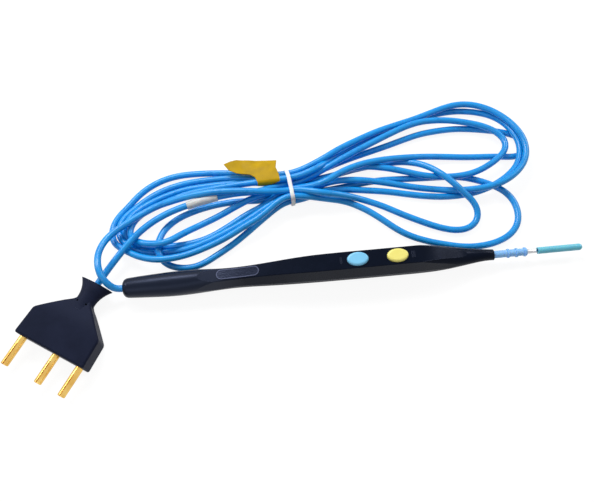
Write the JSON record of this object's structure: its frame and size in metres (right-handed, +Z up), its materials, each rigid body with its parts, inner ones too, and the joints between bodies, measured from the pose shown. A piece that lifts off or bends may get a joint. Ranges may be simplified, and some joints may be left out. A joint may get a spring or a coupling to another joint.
{
  "type": "electrosurgical pencil",
  "caption": "Hand-switch electrosurgical pencil with two push buttons, a sleeved electrode under a tip cover, and a tied cord hank ending in a moulded three-pin plug",
  "frame": {"origin": "bottom centre of the box of the handle and electrode, on the table under the middle of their length", "axes": "+X along the handle towards the electrode's tip, +Z up through the button face, +Y to the side where the cord lies"},
  "size_m": [0.3022, 0.1505, 0.0187],
  "materials": {
    "handle_black": "semi-gloss moulded",
    "coag_blue": "satin",
    "cut_yellow": "satin",
    "board_green": "solder-masked",
    "dome_steel": "rolled",
    "brass": "turned",
    "steel": "polished",
    "sleeve_blue": "satin",
    "cover_teal": "satin, slightly clear",
    "cord_blue": "satin",
    "core_red": "satin",
    "core_white": "satin",
    "core_grey": "satin",
    "plug_black": "matte moulded",
    "pin_gold": "gold plated",
    "tie_white": "satin",
    "tag_yellow": "satin film"
  },
  "bodies": {
    "pencil": {"upper_shell": "handle_black", "lower_shell": "handle_black", "switch_board": "board_green", "coag_dome": "dome_steel", "cut_dome": "dome_steel", "electrode_socket": "brass", "cord_tail": "cord_blue", "cord_crimp": "dome_steel", "active_wire": "core_red", "coag_wire": "core_white", "cut_wire": "core_grey", "cord_lead_pencil": "cord_blue", "cord_hank": "cord_blue", "cord_lead_plug": "cord_blue", "plug_body": "plug_black", "plug_pin_1": "pin_gold", "plug_pin_2": "pin_gold", "plug_pin_3": "pin_gold", "cord_tie": "tie_white", "cord_tag": "tag_yellow", "marker_sleeve": "tie_white"},
    "coag_key": {"coag_button": "coag_blue"},
    "cut_key": {"cut_button": "cut_yellow"},
    "electrode_unit": {"electrode": "steel", "electrode_sleeve": "sleeve_blue"},
    "cover": {"tip_cover": "cover_teal"}
  },
  "joints": [
    {"name": "coag_press", "type": "slide", "parent": "pencil", "child": "coag_key", "axis": [0, 0, -1], "range_m": [0, 0.0005], "stiffness_N_per_m": 2000, "deforming": ["coag_dome"]},
    {"name": "cut_press", "type": "slide", "parent": "pencil", "child": "cut_key", "axis": [0, 0, -1], "range_m": [0, 0.0005], "stiffness_N_per_m": 2000, "deforming": ["cut_dome"]},
    {"name": "electrode_pull", "type": "slide", "parent": "pencil", "child": "electrode_unit", "axis": [1, 0, 0], "range_m": [0, 0.024]},
    {"name": "cover_pull", "type": "slide", "parent": "electrode_unit", "child": "cover", "axis": [1, 0, 0], "range_m": [0, 0.026]}
  ]
}
